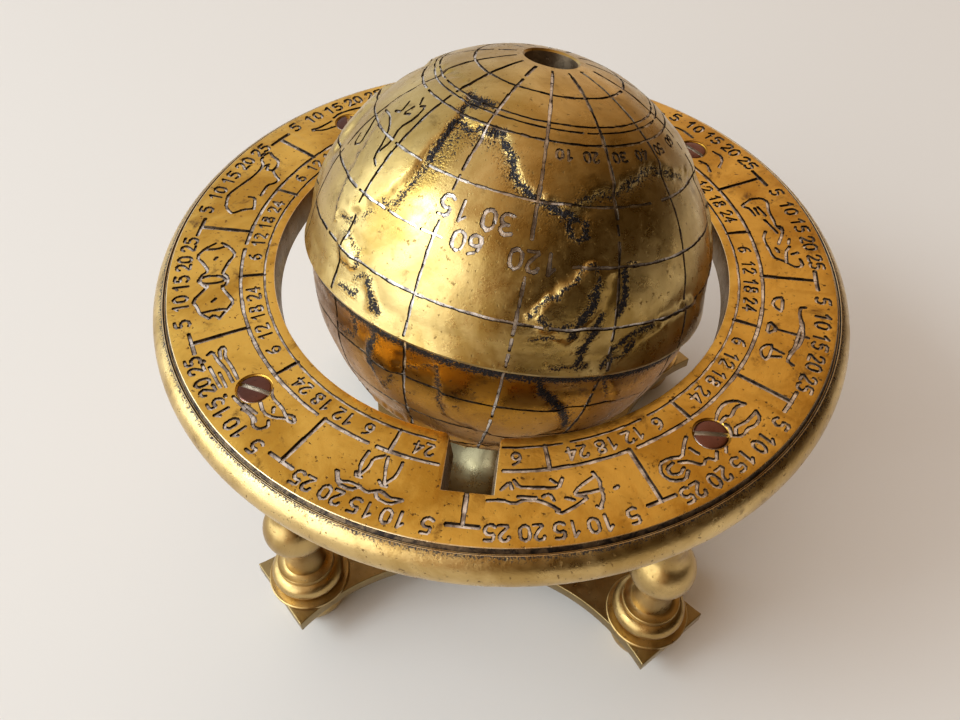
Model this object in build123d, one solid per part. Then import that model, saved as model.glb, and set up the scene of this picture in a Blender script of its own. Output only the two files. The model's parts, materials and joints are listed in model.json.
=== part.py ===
from build123d import *
import os
from math import asin, cos, radians, sin, sqrt

# Desk globe on a four-legged brass stand, in millimetres with +Z up.
# The origin is on the floor under the middle of the horizon ring. The open notch
# at the front of the ring looks along -Y, and the four legs stand on the diagonals.

os.makedirs("parts", exist_ok=True)

# Heights, from the floor up
foot_height = 9.0
plate_thickness = 4.0
leg_length = 81.4
ring_thickness = 7.0
plate_top = foot_height + plate_thickness
ring_bottom = plate_top + leg_length
ring_top = ring_bottom + ring_thickness

# Horizon ring: a flat plate with a round bead along its rim
ring_inner_r = 56.1
ring_outer_r = 86.0
ring_wall_draft = 0.6
bead_r = 5.8
bead_drop = 6.0
groove_inset = 3.7
groove_r = ring_outer_r - groove_inset
groove_width = 1.4
groove_depth = 1.2
notch_width = 10.7
notch_inset = 16.3
notch_end_r = ring_outer_r - notch_inset
notch_taper = 6.5

# Legs, turned in one piece
leg_inset = 16.3
leg_circle_r = ring_outer_r - leg_inset
leg_angle = 45.0
leg_disc_r = 11.6
leg_disc_height = 1.3
leg_torus_r = 10.2
leg_torus_height = 6.4
leg_fillet_r = 8.0
leg_fillet_height = 1.8
leg_neck_r = 5.4
leg_cove_depth = 0.27
leg_bulb_r = 8.8
leg_bulb_height = 28.0
leg_bulb_blend = 45.0
leg_shaft_r = 4.2
leg_shaft_top_r = 5.0
leg_collar_r = 7.2
leg_collar_height = 5.6
leg_tenon_r = 4.3

# Base plate: four arms under the legs, with round bites between them
arm_past_leg = 10.3
arm_reach = leg_circle_r + arm_past_leg
arm_half_width = 12.0
arm_end_bulge = 0.5
bite_depth_r = 39.4
plate_edge_round = 1.3

# Feet, turned
foot_r = 9.8
foot_bottom_r = 7.4
foot_top_r = 8.6

# Fasteners
screw_r = 2.0
screw_head_r = 3.9
screw_length = 18.0
slot_width = 1.0
slot_depth = 1.0
head_rim = 0.15
stud_r = 2.0
stud_in_leg = 10.0
stud_in_foot = 5.5
tie_screw_r = 2.5
tie_head_r = 4.3
tie_head_height = 3.2
tie_thread_length = 5.0
tie_washer_r = 6.0
tie_washer_thickness = 1.0
thread_clearance = 0.05
hole_clearance = 0.25
drill_point = 1.0

# Globe: two shells that part at the equator, with a round hole at each pole
globe_r = 50.0
globe_lower_r = 48.9
shell_wall = 2.5
globe_rise = -0.4
globe_shift = 1.4
axis_tilt = 17.0
axis_azimuth = 61.5
pole_hole_r = 6.0
pole_hole_round = 0.5
upper_boss_r = 8.5
upper_boss_depth = 8.0
lower_boss_r = 9.0
lower_boss_depth = 12.0
lip_height = 4.0
lip_wall = 1.6
lip_clearance = 0.15

# Land stands this high above the sea. So do a rim along the equator and a collar round
# the lower pole hole.
relief_height = 0.75
relief_rim = 1.4
relief_collar = 0.7

# Lands, as loops of (longitude, distance from the upper pole) in degrees. The first one
# lies round the pole.
lands = (
    (
        (165, 27), (173, 34), (186, 36), (194, 35), (200, 40), (206, 46), (222, 51), (230, 46),
        (245, 43), (256, 40), (270, 44), (292, 50), (318, 46), (342, 36), (8, 32), (40, 36),
        (72, 31), (100, 36), (125, 30),
    ),
    (
        (138, 26), (165, 25), (173, 34), (172, 50), (168, 61), (158, 69), (152, 73), (147, 60),
        (143, 50), (136, 44),
    ),
    ((214, 75), (221, 67), (229, 61), (236, 63), (232, 72), (225, 81), (219, 78)),
    (
        (236, 87), (241, 81), (250, 78), (266, 75), (276, 82), (272, 96), (258, 104), (246, 103),
        (240, 94),
    ),
    ((176, 90), (185, 90), (184, 103), (178, 113), (173, 104)),
    ((193, 90), (221, 90), (225, 99), (230, 102), (235, 113), (218, 120), (199, 113), (195, 97)),
    ((92, 54), (110, 46), (122, 50), (128, 62), (120, 88), (108, 108), (98, 98), (88, 74)),
    (
        (300, 62), (318, 56), (336, 60), (346, 74), (332, 90), (318, 112), (308, 124), (302, 100),
        (292, 78),
    ),
    ((18, 50), (46, 44), (70, 50), (80, 64), (66, 80), (58, 104), (44, 120), (34, 98), (14, 80)),
    ((150, 130), (190, 126), (230, 134), (260, 130), (262, 150), (200, 156), (150, 150)),
)

# Bearing at the lower pole
pin_r = 3.0
pin_clearance = 0.05
pin_tail_r = 2.5
pin_past_bush = 2.0
shoulder_r = 6.0
shoulder_height = 2.0
bush_flange_r = 8.5
bush_flange_height = 1.5
bush_press_gap = 0.02
spot_face_r = 8.8
washer_r = 7.5
washer_thickness = 1.0
nut_r = 4.6
nut_height = 3.2
nut_dome = 2.0

# Curved arm under the globe, and the pedestal that carries it
arm_thickness = 5.0
arm_width = 9.0
arm_overhang = 8.0
pad_r = 6.5
pad_height = 2.5
pedestal_foot_r = 23.0
pedestal_foot_height = 1.8
pedestal_skirt_inset = 1.0
pedestal_skirt_flare = 5.6
pedestal_skirt_rise = 4.4
pedestal_neck_r = 4.6
pedestal_knop_r = 7.4
pedestal_head_r = 7.0
pedestal_head_height = 3.0

# Corners in quarter turns, anticlockwise from the back right
corners = ("back_right", "back_left", "front_left", "front_right")

# The globe's own frame: centre at the origin, north pole along +Z.
globe_centre_z = ring_top + globe_rise
globe_foot = Pos(globe_shift, 0, 0)
globe_place = globe_foot * Pos(0, 0, globe_centre_z) * Rot(0, 0, axis_azimuth) * Rot(0, axis_tilt, 0)

# Stack along the lower half of the polar axis, as distances from the globe's centre
spot_face = sqrt(globe_lower_r**2 - spot_face_r**2)
bush_face = spot_face + bush_flange_height
washer_face = bush_face + washer_thickness
arm_seat = washer_face + shoulder_height
arm_inner_r = sqrt(arm_seat**2 + shoulder_r**2)
arm_outer_r = arm_inner_r + arm_thickness
nut_face = sqrt(arm_outer_r**2 - nut_r**2)
lower_boss_end = globe_lower_r - lower_boss_depth
pad_bottom = globe_centre_z - arm_outer_r - pad_height


def turned(*edges):
    """Turn a closed outline, drawn as radius and height, about the Z axis."""
    return revolve(Plane.XZ * make_face(edges), axis=Axis.Z)


def turned_corners(*points):
    """Turn an outline with straight sides only."""
    return turned(*Polyline(*points, close=True).edges())


def rod(r, bottom, top):
    return Pos(0, 0, bottom) * Cylinder(r, top - bottom, align=(Align.CENTER, Align.CENTER, Align.MIN))


def at_corner(quarter, shape):
    """Set a shape on the circle that the legs stand on."""
    return Rot(0, 0, leg_angle + 90 * quarter) * Pos(leg_circle_r, 0, 0) * shape


def slot(r, top):
    """Driver slot across a screw head."""
    depth = (Align.CENTER, Align.CENTER, Align.MAX)
    return Pos(0, 0, top) * Box(3 * r, slot_width, slot_depth, align=depth)


def horizon_ring():
    bead = Pos(ring_outer_r - bead_r, -bead_drop) * Circle(bead_r)
    plate = make_face(
        Polyline(
            (ring_inner_r, 0),
            (groove_r, 0),
            (groove_r, -ring_thickness),
            (ring_inner_r - ring_wall_draft, -ring_thickness),
            close=True,
        )
    )
    groove = make_face(
        Polyline(
            (groove_r - groove_width / 2, 0),
            (groove_r, -groove_depth),
            (groove_r + groove_width / 2, 0),
            close=True,
        )
    )
    ring = revolve(Plane.XZ * (plate + bead - groove), axis=Axis.Z)

    # The notches are cut from above, and narrow towards the bottom.
    for side in (-1, 1):
        mouth_mid = Plane(origin=(0, side * notch_end_r / 2, 0), z_dir=(0, 0, -1))
        mouth = mouth_mid * Rectangle(notch_width, notch_end_r)
        ring -= extrude(mouth, amount=ring_thickness + bead_r, taper=notch_taper)

    sink = screw_head_r - screw_r
    hole_r = screw_r + hole_clearance
    screw_hole = turned_corners(
        (0, 0),
        (screw_head_r + hole_clearance, 0),
        (hole_r, -sink),
        (hole_r, -ring_thickness - bead_r),
        (0, -ring_thickness - bead_r),
    )
    for quarter in range(len(corners)):
        ring -= at_corner(quarter, screw_hole)
    return Pos(0, 0, ring_top) * ring


def ring_screw():
    """Slotted countersunk screw, its head just under the ring's top face."""
    sink = screw_head_r - screw_r
    top = -head_rim
    body = turned_corners(
        (0, top),
        (screw_head_r, top),
        (screw_head_r, -hole_clearance),
        (screw_r, -hole_clearance - sink),
        (screw_r, -screw_length),
        (0, -screw_length),
    )
    return Pos(0, 0, ring_top) * (body - slot(screw_head_r, top))


def leg():
    """Baluster: disc, torus, cove, bulb, slender shaft, collar and a tenon into the ring's back."""
    torus_r = leg_torus_height / 2
    torus_x = leg_torus_r - torus_r
    disc_top = leg_disc_height
    torus_mid = disc_top + torus_r
    torus_top = disc_top + leg_torus_height
    fillet_top = torus_top + leg_fillet_height
    fillet_seat = (leg_fillet_r + leg_neck_r) / 2
    bulb_under = leg_bulb_height - sqrt(leg_bulb_r**2 - leg_neck_r**2)
    cove_r = leg_neck_r - leg_cove_depth
    tenon_length = bead_drop + bead_r - ring_thickness + hole_clearance
    collar_top = leg_length - tenon_length
    collar_bottom = collar_top - leg_collar_height
    collar_mid = (collar_top + collar_bottom) / 2
    collar_foot = (leg_shaft_top_r, collar_bottom)
    collar_head = (leg_shaft_top_r, collar_top)

    # The bulb runs into the shaft through an arc that ends upright.
    leave = radians(leg_bulb_blend)
    bulb_x = leg_bulb_r * cos(leave)
    bulb_z = leg_bulb_height + leg_bulb_r * sin(leave)
    blend_r = (bulb_x - leg_shaft_r) / (1 - cos(leave))
    shaft_start = bulb_z + blend_r * sin(leave)

    body = turned(
        Line((0, 0), (leg_disc_r, 0)),
        Line((leg_disc_r, 0), (leg_disc_r, disc_top)),
        Line((leg_disc_r, disc_top), (torus_x, disc_top)),
        ThreePointArc((torus_x, disc_top), (leg_torus_r, torus_mid), (torus_x, torus_top)),
        Line((torus_x, torus_top), (leg_fillet_r, torus_top)),
        Line((leg_fillet_r, torus_top), (leg_fillet_r, fillet_top)),
        Line((leg_fillet_r, fillet_top), (fillet_seat, fillet_top)),
        ThreePointArc(
            (fillet_seat, fillet_top),
            (cove_r, (fillet_top + bulb_under) / 2),
            (leg_neck_r, bulb_under),
        ),
        ThreePointArc((leg_neck_r, bulb_under), (leg_bulb_r, leg_bulb_height), (bulb_x, bulb_z)),
        TangentArc((bulb_x, bulb_z), (leg_shaft_r, shaft_start), tangent=(-sin(leave), cos(leave))),
        Line((leg_shaft_r, shaft_start), collar_foot),
        ThreePointArc(collar_foot, (leg_collar_r, collar_mid), collar_head),
        Line(collar_head, (leg_tenon_r, collar_top)),
        Line((leg_tenon_r, collar_top), (leg_tenon_r, leg_length)),
        Line((leg_tenon_r, leg_length), (0, leg_length)),
        Line((0, leg_length), (0, 0)),
    )
    screw_depth = screw_length - ring_thickness + drill_point
    body -= rod(stud_r + thread_clearance, 0, stud_in_leg + drill_point)
    body -= rod(screw_r + thread_clearance, leg_length - screw_depth, leg_length)
    return Pos(0, 0, plate_top) * body


def base_plate():
    # Corner of one arm's end, on a plate whose arms lie on the diagonals
    corner_u = (arm_reach + arm_half_width) * cos(radians(leg_angle))
    corner_v = (arm_reach - arm_half_width) * cos(radians(leg_angle))
    end = (arm_reach + arm_end_bulge) * cos(radians(leg_angle))
    edges = []
    for quarter in range(len(corners)):
        bite = ThreePointArc((corner_u, -corner_v), (bite_depth_r, 0), (corner_u, corner_v))
        tip = ThreePointArc((corner_u, corner_v), (end, end), (corner_v, corner_u))
        edges += [Rot(0, 0, 90 * quarter) * bite, Rot(0, 0, 90 * quarter) * tip]
    plate = extrude(make_face(edges), amount=plate_thickness)
    plate = fillet(plate.faces().sort_by(Axis.Z)[-1].edges(), plate_edge_round)
    plate -= globe_foot * rod(tie_screw_r + hole_clearance, 0, plate_thickness)
    for quarter in range(len(corners)):
        plate -= at_corner(quarter, rod(stud_r + hole_clearance, 0, plate_thickness))
    return Pos(0, 0, foot_height) * plate


def foot():
    body = turned(
        Line((0, 0), (foot_bottom_r, 0)),
        ThreePointArc((foot_bottom_r, 0), (foot_r, foot_height / 2), (foot_top_r, foot_height)),
        Line((foot_top_r, foot_height), (0, foot_height)),
        Line((0, foot_height), (0, 0)),
    )
    return body - rod(stud_r + thread_clearance, foot_height - stud_in_foot - drill_point, foot_height)


def leg_stud():
    return rod(stud_r, foot_height - stud_in_foot, plate_top + stud_in_leg)


def pedestal():
    """Turned column: wide thin foot, hollow flared skirt, neck, knop and a flat head under the arm."""
    foot_top = pedestal_foot_height
    height = pad_bottom - plate_top
    head_bottom = height - pedestal_head_height
    knop_r = pedestal_knop_r - pedestal_neck_r
    knop_mid = head_bottom - 2 * knop_r
    neck_top = knop_mid - knop_r
    skirt_foot = (pedestal_foot_r - pedestal_skirt_inset, foot_top)
    skirt_bend = (pedestal_neck_r + pedestal_skirt_flare, foot_top + pedestal_skirt_rise)
    knop_foot = (pedestal_neck_r, neck_top)
    knop_head = (pedestal_neck_r, knop_mid + knop_r)
    column = turned(
        Line((0, 0), (pedestal_foot_r, 0)),
        Line((pedestal_foot_r, 0), (pedestal_foot_r, foot_top)),
        Line((pedestal_foot_r, foot_top), skirt_foot),
        ThreePointArc(skirt_foot, skirt_bend, knop_foot),
        ThreePointArc(knop_foot, (pedestal_knop_r, knop_mid), knop_head),
        Line(knop_head, (pedestal_head_r, head_bottom)),
        Line((pedestal_head_r, head_bottom), (pedestal_head_r, height)),
        Line((pedestal_head_r, height), (0, height)),
        Line((0, height), (0, 0)),
    )
    column -= rod(tie_screw_r + hole_clearance, 0, height)
    return globe_foot * Pos(0, 0, plate_top) * column


def tie_washer():
    bottom = foot_height - tie_washer_thickness
    ring = rod(tie_washer_r, bottom, foot_height)
    ring -= rod(tie_screw_r + hole_clearance, bottom, foot_height)
    return globe_foot * ring


def tie_screw():
    """Long cheese-head screw that pulls plate, pedestal and arm together from below."""
    head_top = foot_height - tie_washer_thickness
    head_bottom = head_top - tie_head_height
    head = rod(tie_head_r, head_bottom, head_top)
    head -= Pos(0, 0, slot_depth) * slot(tie_head_r, head_bottom)
    shank = rod(tie_screw_r, head_top, pad_bottom + tie_thread_length)
    return globe_foot * (head + shank)


def polar_arm():
    """Short curved arm that follows the globe from the pedestal to the lower pole."""
    # The band of the arm is cut out of a full ring by a wedge from past the pole
    # to past the pedestal.
    band = Circle(arm_outer_r) - Circle(arm_inner_r)
    wedge_r = 2 * arm_outer_r
    tips = []
    for angle in (-arm_overhang, axis_tilt / 2, axis_tilt + arm_overhang):
        tips.append((wedge_r * sin(radians(angle)), -wedge_r * cos(radians(angle))))
    wedge = make_face(Polyline((0, 0), *tips, close=True))
    arm = globe_place * extrude(Plane.XZ * (band & wedge), amount=arm_width / 2, both=True)
    arm += globe_foot * rod(pad_r, pad_bottom, pad_bottom + pad_height + arm_thickness / 2)
    arm -= globe_place * rod(shoulder_r + hole_clearance, -arm_seat, 0)
    arm -= globe_place * rod(nut_r + hole_clearance, -arm_outer_r - nut_height, -nut_face)
    arm -= globe_place * rod(pin_tail_r + thread_clearance, -arm_outer_r - nut_height, 0)
    tie_hole_end = pad_bottom + tie_thread_length + drill_point
    arm -= globe_foot * rod(tie_screw_r + thread_clearance, pad_bottom, tie_hole_end)
    return arm


def axis_pin():
    """Shouldered pin, with a chamfered end inside the globe."""
    tip = pin_past_bush - lower_boss_end
    end_r = pin_r / 2
    pin = turned_corners(
        (0, -washer_face),
        (pin_r, -washer_face),
        (pin_r, tip - end_r),
        (end_r, tip),
        (0, tip),
    )
    pin += rod(shoulder_r, -arm_seat, -washer_face)
    pin += rod(pin_tail_r, -nut_face - nut_height, -arm_seat)
    return globe_place * pin


def pin_nut():
    """Round nut with a domed end, under the arm."""
    flat_end = nut_face + nut_height
    dome_r = (nut_r**2 + nut_dome**2) / (2 * nut_dome)
    dome_centre = -flat_end - nut_dome + dome_r
    half_way = asin(nut_r / dome_r) / 2
    body = turned(
        Line((0, -nut_face), (nut_r, -nut_face)),
        Line((nut_r, -nut_face), (nut_r, -flat_end)),
        ThreePointArc(
            (nut_r, -flat_end),
            (dome_r * sin(half_way), dome_centre - dome_r * cos(half_way)),
            (0, dome_centre - dome_r),
        ),
        Line((0, dome_centre - dome_r), (0, -nut_face)),
    )
    return globe_place * (body - rod(pin_tail_r + thread_clearance, -flat_end, -nut_face))


def thrust_washer():
    ring = rod(washer_r, -washer_face, -bush_face)
    ring -= rod(pin_r + hole_clearance, -washer_face, -bush_face)
    return globe_place * ring


def pole_bush():
    """Flanged bush in the lower pole hole, running on the axis pin."""
    bush = rod(pole_hole_r - bush_press_gap, -spot_face, -lower_boss_end)
    bush += rod(bush_flange_r, -bush_face, -spot_face)
    return globe_place * (bush - rod(pin_r + pin_clearance, -bush_face, -lower_boss_end))


def sphere_height(sphere_r, r):
    """Height on a sphere above its centre, at a distance r from the axis."""
    return sqrt(sphere_r**2 - r**2)


def arc_on_sphere(sphere_r, r_from, r_to, side):
    """Arc of the outline of a sphere between two distances from the axis."""
    mid = (asin(r_from / sphere_r) + asin(r_to / sphere_r)) / 2
    return ThreePointArc(
        (r_from, side * sphere_height(sphere_r, r_from)),
        (sphere_r * sin(mid), side * sphere_r * cos(mid)),
        (r_to, side * sphere_height(sphere_r, r_to)),
    )


def land(outline):
    """Pyramid from the globe's centre through the outline of a land, cut off inside the shell."""
    toward = [
        Vector(cos(radians(lon)) * sin(radians(polar)), sin(radians(lon)) * sin(radians(polar)), cos(radians(polar)))
        for lon, polar in outline
    ]
    middle = sum(toward, Vector(0, 0, 0)).normalized()
    ends = []
    for reach in (0.4 * globe_r, 1.2 * globe_r):
        corners_there = [way * (reach / way.dot(middle)) for way in toward]
        ends.append(make_face(Polyline(*corners_there, close=True)))
    return loft(ends, ruled=True)


def sea(r, collar_r, side):
    """Layer to take off one half of the globe, so that the land, rim and collar stand proud."""
    low_r = r - relief_height
    high_r = r + relief_height
    low_rim_r = sphere_height(low_r, relief_rim)
    high_rim_r = sphere_height(high_r, relief_rim)
    layer = turned(
        Line((low_rim_r, side * relief_rim), (high_rim_r, side * relief_rim)),
        arc_on_sphere(high_r, high_rim_r, collar_r, side),
        Line((collar_r, side * sphere_height(high_r, collar_r)), (collar_r, side * sphere_height(low_r, collar_r))),
        arc_on_sphere(low_r, collar_r, low_rim_r, side),
    )
    for outline in lands:
        layer -= land(outline)
    return layer


def globe_upper_shell():
    inner_r = globe_r - shell_wall
    rim_r = pole_hole_r + pole_hole_round
    rim_z = sphere_height(globe_r, rim_r)
    boss_z = globe_r - upper_boss_depth
    shell = turned(
        Line((inner_r, 0), (globe_r, 0)),
        arc_on_sphere(globe_r, globe_r, rim_r, 1),
        Line((rim_r, rim_z), (pole_hole_r, rim_z - pole_hole_round)),
        Line((pole_hole_r, rim_z - pole_hole_round), (pole_hole_r, boss_z)),
        Line((pole_hole_r, boss_z), (upper_boss_r, boss_z)),
        Line((upper_boss_r, boss_z), (upper_boss_r, sphere_height(inner_r, upper_boss_r))),
        arc_on_sphere(inner_r, upper_boss_r, inner_r, 1),
    )
    return globe_place * (shell - sea(globe_r, rim_r + relief_collar, 1))


def globe_lower_shell():
    inner_r = globe_lower_r - shell_wall
    lip_outer_r = sphere_height(globe_r - shell_wall, lip_height) - lip_clearance
    lip_inner_r = min(lip_outer_r - lip_wall, inner_r - lip_clearance)
    shell = turned(
        Line((globe_lower_r, 0), (lip_outer_r, 0)),
        Line((lip_outer_r, 0), (lip_outer_r, lip_height)),
        Line((lip_outer_r, lip_height), (lip_inner_r, lip_height)),
        Line((lip_inner_r, lip_height), (lip_inner_r, -sphere_height(inner_r, lip_inner_r))),
        arc_on_sphere(inner_r, lip_inner_r, lower_boss_r, -1),
        Line((lower_boss_r, -sphere_height(inner_r, lower_boss_r)), (lower_boss_r, -lower_boss_end)),
        Line((lower_boss_r, -lower_boss_end), (pole_hole_r, -lower_boss_end)),
        Line((pole_hole_r, -lower_boss_end), (pole_hole_r, -spot_face)),
        Line((pole_hole_r, -spot_face), (spot_face_r, -spot_face)),
        arc_on_sphere(globe_lower_r, spot_face_r, globe_lower_r, -1),
    )
    return globe_place * (shell - sea(globe_lower_r, spot_face_r + relief_collar, -1))


parts = {
    "horizon_ring": horizon_ring(),
    "base_plate": base_plate(),
    "pedestal": pedestal(),
    "tie_screw": tie_screw(),
    "tie_washer": tie_washer(),
    "polar_arm": polar_arm(),
    "axis_pin": axis_pin(),
    "pin_nut": pin_nut(),
    "thrust_washer": thrust_washer(),
    "pole_bush": pole_bush(),
    "globe_lower_shell": globe_lower_shell(),
    "globe_upper_shell": globe_upper_shell(),
}
for quarter, corner in enumerate(corners):
    parts["leg_" + corner] = at_corner(quarter, leg())
    parts["foot_" + corner] = at_corner(quarter, foot())
    parts["leg_stud_" + corner] = at_corner(quarter, leg_stud())
    parts["ring_screw_" + corner] = at_corner(quarter, ring_screw())

for name, shape in parts.items():
    export_step(shape, "parts/" + name + ".step")
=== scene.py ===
import json
import random
from itertools import islice
from math import copysign, cos, hypot, pi, radians, sin, tan, tau

import bmesh
import bpy
import numpy
from mathutils import Matrix, Quaternion, Vector, noise
from mathutils.bvhtree import BVHTree


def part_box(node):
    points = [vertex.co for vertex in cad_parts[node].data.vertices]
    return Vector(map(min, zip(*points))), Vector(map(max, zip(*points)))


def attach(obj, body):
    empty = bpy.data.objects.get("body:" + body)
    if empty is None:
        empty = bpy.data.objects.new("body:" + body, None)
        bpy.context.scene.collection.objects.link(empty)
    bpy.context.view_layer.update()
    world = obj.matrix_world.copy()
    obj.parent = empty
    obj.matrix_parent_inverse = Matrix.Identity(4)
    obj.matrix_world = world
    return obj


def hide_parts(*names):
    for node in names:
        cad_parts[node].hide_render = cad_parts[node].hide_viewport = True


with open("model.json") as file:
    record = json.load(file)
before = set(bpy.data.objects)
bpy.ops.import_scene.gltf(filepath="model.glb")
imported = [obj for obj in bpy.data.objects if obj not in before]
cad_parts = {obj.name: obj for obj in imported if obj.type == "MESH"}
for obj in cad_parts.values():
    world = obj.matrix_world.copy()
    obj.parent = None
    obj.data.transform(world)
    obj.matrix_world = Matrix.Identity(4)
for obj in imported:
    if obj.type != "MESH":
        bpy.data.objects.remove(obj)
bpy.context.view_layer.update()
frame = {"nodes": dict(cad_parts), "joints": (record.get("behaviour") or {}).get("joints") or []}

mm = 0.001

# The camera looks down on the front of the globe from a little to the right, with a
# slightly wide lens, so that the ring opens out towards the front notch.
camera_aim = Vector((-1.39, -35.24, 101.4)) * mm
camera_turn, camera_rise, camera_lean = radians(5.87), radians(50.06), radians(0.95)
camera_reach = 196.56 * mm
away = Vector((
    sin(camera_turn) * cos(camera_rise),
    -cos(camera_turn) * cos(camera_rise),
    sin(camera_rise),
))
camera_lens = bpy.data.cameras.new("camera")
camera_lens.sensor_width = 36
camera_lens.lens = 32.84
camera_lens.clip_start = 0.01
camera = bpy.data.objects.new("camera", camera_lens)
camera.location = camera_aim + away * camera_reach
level_view = away.to_track_quat("Z", "Y")
camera.rotation_euler = (level_view @ Quaternion((0, 0, 1), camera_lean)).to_euler()
bpy.context.collection.objects.link(camera)
bpy.context.scene.camera = camera


# Horizon ring: a flat cast brass plate with a heavy round bead along its rim and a
# turned groove between the two. Front and back notches take a meridian ring. Signs,
# dividers and numerals are cut by hand with a V-shaped graver and have gone black.
ring_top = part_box("horizon_ring")[1][2] / mm
ring_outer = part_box("horizon_ring")[1][0] / mm
ring_inner = 56.1
ring_draft = 0.6
ring_thick = 7.0
bead = 5.8
bead_drop = 6.0
rim_groove = ring_outer - 3.7
rim_groove_half = 0.7
notch_wide = 10.7
notch_end = 69.7
notch_slope = tan(radians(6.5))
notch_mouth = 55.6
notch_lip = 1.5
leg_circle = 69.7
leg_turns = {"back_right": 45, "back_left": 135, "front_left": 225, "front_right": 315}
graver = random.Random(5)


def arc(x, z, r, start, end, steps):
    """Points of an arc, from one angle to another in degrees."""
    angles = [radians(start + (end - start) * i / steps) for i in range(steps + 1)]
    return [(x + r * cos(a), z + r * sin(a)) for a in angles]


def turned(outline, steps=128, closed=True, wedges=1):
    """Turn an outline of radius and height, in millimetres, about the Z axis.

    A fine mesh is turned as one wedge, which is then repeated all round.
    """
    bm = bmesh.new()
    points = [bm.verts.new((r, 0, z)) for r, z in outline]
    lines = [bm.edges.new(pair) for pair in zip(points, points[1:])]
    if closed:
        lines.append(bm.edges.new((points[-1], points[0])))
    bmesh.ops.spin(
        bm, geom=points + lines, axis=(0, 0, 1), cent=(0, 0, 0),
        angle=tau / wedges, steps=steps // wedges, use_merge=wedges == 1,
    )
    if wedges > 1:
        bmesh.ops.spin(
            bm, geom=bm.verts[:] + bm.edges[:] + bm.faces[:], axis=(0, 0, 1), cent=(0, 0, 0),
            angle=tau - tau / wedges, steps=wedges - 1, use_duplicate=True,
        )
    bmesh.ops.remove_doubles(bm, verts=bm.verts, dist=0.001)
    bmesh.ops.recalc_face_normals(bm, faces=bm.faces)
    return bm


def piece(name, bm, finishes, place=None):
    """Make a mesh of millimetres into a piece that stands in its place."""
    if place is not None:
        bmesh.ops.transform(bm, matrix=place, verts=bm.verts)
    bmesh.ops.scale(bm, vec=(mm, mm, mm), verts=bm.verts)
    mesh = bpy.data.meshes.new(name)
    bm.to_mesh(mesh)
    bm.free()
    for finish in finishes:
        mesh.materials.append(finish)
    made = bpy.data.objects.new(name, mesh)
    bpy.context.collection.objects.link(made)
    return made


def settled(made):
    """Keep what the modifiers of a piece have done to it."""
    bpy.context.view_layer.update()
    depsgraph = bpy.context.evaluated_depsgraph_get()
    mesh = bpy.data.meshes.new_from_object(made.evaluated_get(depsgraph))
    made.modifiers.clear()
    made.data = mesh


def cut_out(made, *tools):
    """Cut closed meshes out of a piece."""
    for tool in tools:
        step = made.modifiers.new("cut", "BOOLEAN")
        step.operation = "DIFFERENCE"
        step.solver = "MANIFOLD"
        step.object = tool
    settled(made)
    for tool in tools:
        bpy.data.objects.remove(tool)


def soften(made, width, segments=2, angle=40, finish=-1):
    """Round the corners of a piece that are sharper than an angle, and give them a finish."""
    step = made.modifiers.new("soften", "BEVEL")
    step.width = width * mm
    step.segments = segments
    step.limit_method = "ANGLE"
    step.angle_limit = radians(angle)
    step.material = finish
    settled(made)


def polish(made, angle=32):
    """Shade a piece smooth, with its corners kept crisp."""
    made.data.polygons.foreach_set("use_smooth", [True] * len(made.data.polygons))
    made.data.set_sharp_from_angle(angle=radians(angle))
    made.data.update()


def wandering(points, reach, wobble):
    """A hand-held line: short straight cuts that waver a little about a path."""
    path = []
    for a, b in zip(points, points[1:]):
        count = max(1, round((b - a).length / reach))
        path += [a.lerp(b, i / count) for i in range(count)]
    path.append(points[-1])
    shake = [Vector([graver.uniform(-wobble, wobble) for axis in range(3)]) for p in path]
    return [p + s for p, s in zip(path, shake)]


def curved(points, closed=False):
    """Ease a drawn line by cutting its corners."""
    near, far = 0.78, 0.22
    line = list(points)
    pairs = list(zip(line, line[1:] + line[:1])) if closed else list(zip(line, line[1:]))
    eased = [] if closed else [line[0]]
    for a, b in pairs:
        eased += [tuple(p * near + q * far for p, q in zip(a, b))]
        eased += [tuple(p * far + q * near for p, q in zip(a, b))]
    if not closed:
        eased.append(line[-1])
    return eased + eased[:1] if closed else eased


# The point of the graver. Its flanks leave a cut's walls, and its flat tip the floor.
wall_at, floor_at = 1, 2
bm = bmesh.new()
bmesh.ops.create_cone(bm, cap_ends=True, segments=6, radius1=0.54, radius2=1, depth=2)
for face in bm.faces:
    face.material_index = floor_at if face.normal.z < -0.9 else wall_at
graver_bit = bpy.data.meshes.new("graver_bit")
bm.to_mesh(graver_bit)
bit_size = len(bm.verts)
bm.free()


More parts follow.
